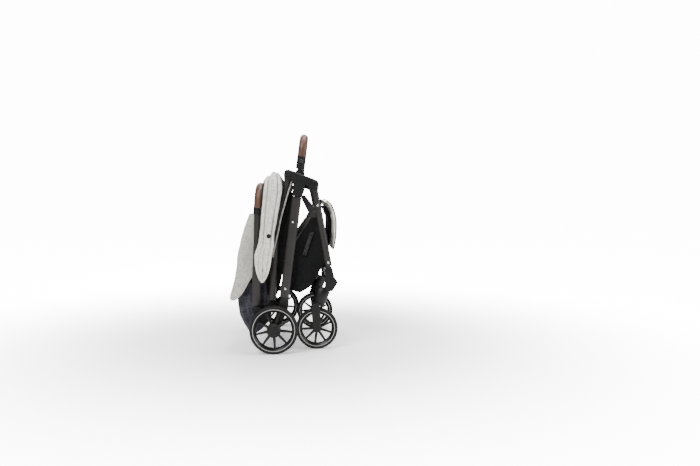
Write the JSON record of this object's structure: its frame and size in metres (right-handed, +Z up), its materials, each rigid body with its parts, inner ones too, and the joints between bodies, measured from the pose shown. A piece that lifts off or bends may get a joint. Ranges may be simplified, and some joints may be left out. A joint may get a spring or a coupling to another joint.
{
  "type": "baby stroller",
  "caption": "Compact folding baby stroller stored folded upright: tubular frame, spoked wheels on casters, pleated canopy, seat, calf rest, bumper bar and push handle.",
  "frame": {"origin": "on the floor below the middle of the bounding box of the folded stroller", "axes": "+X to the stroller's front, +Y to the child's left, +Z up"},
  "size_m": [0.316, 0.481, 0.6399],
  "materials": {
    "dark_tube": "satin powder coat",
    "black_plastic": "fine moulded grain",
    "rubber": "foamed solid tyre",
    "rim_plastic": "smooth moulded",
    "steel": "drawn rod",
    "brown_leatherette": "smooth grained leatherette",
    "grey_fabric": "heather woven polyester",
    "black_fabric": "plain woven polyester",
    "grey_mesh": "fine ventilation mesh",
    "button_grey": "smooth moulded"
  },
  "bodies": {
    "rear_frame": {"hinge_block_L": "black_plastic", "hinge_block_R": "black_plastic", "rear_leg_L": "dark_tube", "rear_leg_R": "dark_tube", "rear_bracket_L": "black_plastic", "rear_bracket_R": "black_plastic", "rear_axle": "steel", "rear_crossbar": "dark_tube", "basket": "black_fabric"},
    "front_frame": {"front_leg_L": "dark_tube", "front_leg_R": "dark_tube", "caster_socket_L": "black_plastic", "caster_socket_R": "black_plastic", "footrest_bar": "dark_tube"},
    "caster_L": {"caster_fork_L": "black_plastic"},
    "caster_R": {"caster_fork_R": "black_plastic"},
    "front_wheel_L": {"tyre_front_L": "rubber", "rim_front_L": "rim_plastic"},
    "front_wheel_R": {"tyre_front_R": "rubber", "rim_front_R": "rim_plastic"},
    "rear_wheel_L": {"tyre_rear_L": "rubber", "rim_rear_L": "rim_plastic", "hub_cap_L": "black_plastic"},
    "rear_wheel_R": {"tyre_rear_R": "rubber", "rim_rear_R": "rim_plastic", "hub_cap_R": "black_plastic"},
    "lower_push": {"lower_tube_L": "dark_tube", "lower_tube_R": "dark_tube", "lower_knee_L": "black_plastic", "lower_knee_R": "black_plastic", "backrest": "black_fabric"},
    "upper_push": {"upper_tube_L": "dark_tube", "upper_tube_R": "dark_tube", "upper_knee_L": "black_plastic", "upper_knee_R": "black_plastic", "handle_grip": "brown_leatherette", "grip_collar_L": "black_plastic", "grip_collar_R": "black_plastic", "canopy_hub_L": "black_plastic", "canopy_hub_R": "black_plastic", "canopy_rear_bow": "black_plastic", "canopy_cover_rear": "grey_fabric", "back_flap": "grey_fabric", "rear_mesh_panel": "grey_mesh"},
    "canopy_middle": {"canopy_middle_bow": "black_plastic"},
    "canopy_front": {"canopy_front_bow": "black_plastic", "canopy_cover_front": "grey_fabric"},
    "seat": {"seat_frame": "dark_tube", "seat_pad": "black_fabric", "buckle": "black_plastic"},
    "buckle_button": {"buckle_button": "button_grey"},
    "calf_rest": {"calf_rest": "grey_fabric"},
    "bumper": {"bumper_arm_L": "black_plastic", "bumper_arm_R": "black_plastic", "bumper_grip": "brown_leatherette"},
    "bumper_button_L": {"bumper_button_L": "black_plastic"},
    "bumper_button_R": {"bumper_button_R": "black_plastic"},
    "fold_trigger": {"fold_trigger": "black_plastic"},
    "brake_pedal": {"brake_pedal": "black_plastic"}
  },
  "joints": [
    {"name": "frame_fold", "type": "hinge", "parent": "rear_frame", "child": "front_frame", "pos_m": [0.0882, 0, 0.4917], "axis": [0, -1, 0], "range_deg": [0, 50]},
    {"name": "push_fold", "type": "hinge", "parent": "rear_frame", "child": "lower_push", "pos_m": [0.0126, 0, 0.5206], "axis": [0, 1, 0], "range_deg": [0, 112]},
    {"name": "handle_fold", "type": "hinge", "parent": "lower_push", "child": "upper_push", "pos_m": [-0.063, 0, 0.098], "axis": [0, -1, 0], "range_deg": [0, 174]},
    {"name": "canopy_middle_fan", "type": "hinge", "parent": "upper_push", "child": "canopy_middle", "pos_m": [-0.066, 0, 0.235], "axis": [0, 1, 0], "range_deg": [0, 50]},
    {"name": "canopy_front_fan", "type": "hinge", "parent": "canopy_middle", "child": "canopy_front", "pos_m": [-0.066, 0, 0.235], "axis": [0, 1, 0], "range_deg": [0, 50]},
    {"name": "seat_turn", "type": "hinge", "parent": "front_frame", "child": "seat", "pos_m": [0.1014, 0, 0.402], "axis": [0, 1, 0], "range_deg": [0, 76.5]},
    {"name": "calf_rest_tilt", "type": "hinge", "parent": "seat", "child": "calf_rest", "pos_m": [0.113, 0, 0.447], "axis": [0, -1, 0], "range_deg": [0, 60]},
    {"name": "bumper_lift", "type": "slide", "parent": "rear_frame", "child": "bumper", "axis": [0.1337, 0, 0.991], "range_m": [0, 0.05]},
    {"name": "bumper_button_press_L", "type": "slide", "parent": "bumper", "child": "bumper_button_L", "axis": [0, -1, 0], "range_m": [0, 0.003], "stiffness_N_per_m": 600},
    {"name": "bumper_button_press_R", "type": "slide", "parent": "bumper", "child": "bumper_button_R", "axis": [0, 1, 0], "range_m": [0, 0.003], "stiffness_N_per_m": 600},
    {"name": "fold_trigger_pull", "type": "slide", "parent": "upper_push", "child": "fold_trigger", "axis": [-1, 0, 0], "range_m": [0, 0.003], "stiffness_N_per_m": 500},
    {"name": "buckle_press", "type": "slide", "parent": "seat", "child": "buckle_button", "axis": [0.8301, 0, -0.5576], "range_m": [0, 0.002], "stiffness_N_per_m": 600},
    {"name": "brake_press", "type": "hinge", "parent": "rear_frame", "child": "brake_pedal", "pos_m": [-0.002, 0, 0.128], "axis": [0, -1, 0], "range_deg": [0, 18]},
    {"name": "caster_swivel_L", "type": "hinge", "parent": "front_frame", "child": "caster_L", "pos_m": [0.101, 0.163, 0.14], "axis": [0.3584, 0, 0.9336], "range_deg": [-200, 90]},
    {"name": "caster_swivel_R", "type": "hinge", "parent": "front_frame", "child": "caster_R", "pos_m": [0.101, -0.163, 0.14], "axis": [0.3584, 0, 0.9336], "range_deg": [-90, 200]},
    {"name": "front_wheel_spin_L", "type": "hinge", "parent": "caster_L", "child": "front_wheel_L", "pos_m": [0.096, 0.163, 0.062], "axis": [0, 1, 0], "continuous": true},
    {"name": "front_wheel_spin_R", "type": "hinge", "parent": "caster_R", "child": "front_wheel_R", "pos_m": [0.096, -0.163, 0.062], "axis": [0, 1, 0], "continuous": true},
    {"name": "rear_wheel_spin_L", "type": "hinge", "parent": "rear_frame", "child": "rear_wheel_L", "pos_m": [-0.03, 0.226, 0.07], "axis": [0, 1, 0], "continuous": true},
    {"name": "rear_wheel_spin_R", "type": "hinge", "parent": "rear_frame", "child": "rear_wheel_R", "pos_m": [-0.03, -0.226, 0.07], "axis": [0, 1, 0], "continuous": true}
  ],
  "couplings": [
    {"joint": "push_fold", "follows": "frame_fold", "ratio": 2.24},
    {"joint": "handle_fold", "follows": "frame_fold", "ratio": 3.48},
    {"joint": "canopy_middle_fan", "follows": "frame_fold", "ratio": 1},
    {"joint": "canopy_front_fan", "follows": "frame_fold", "ratio": 1},
    {"joint": "seat_turn", "follows": "frame_fold", "ratio": 1.53}
  ]
}
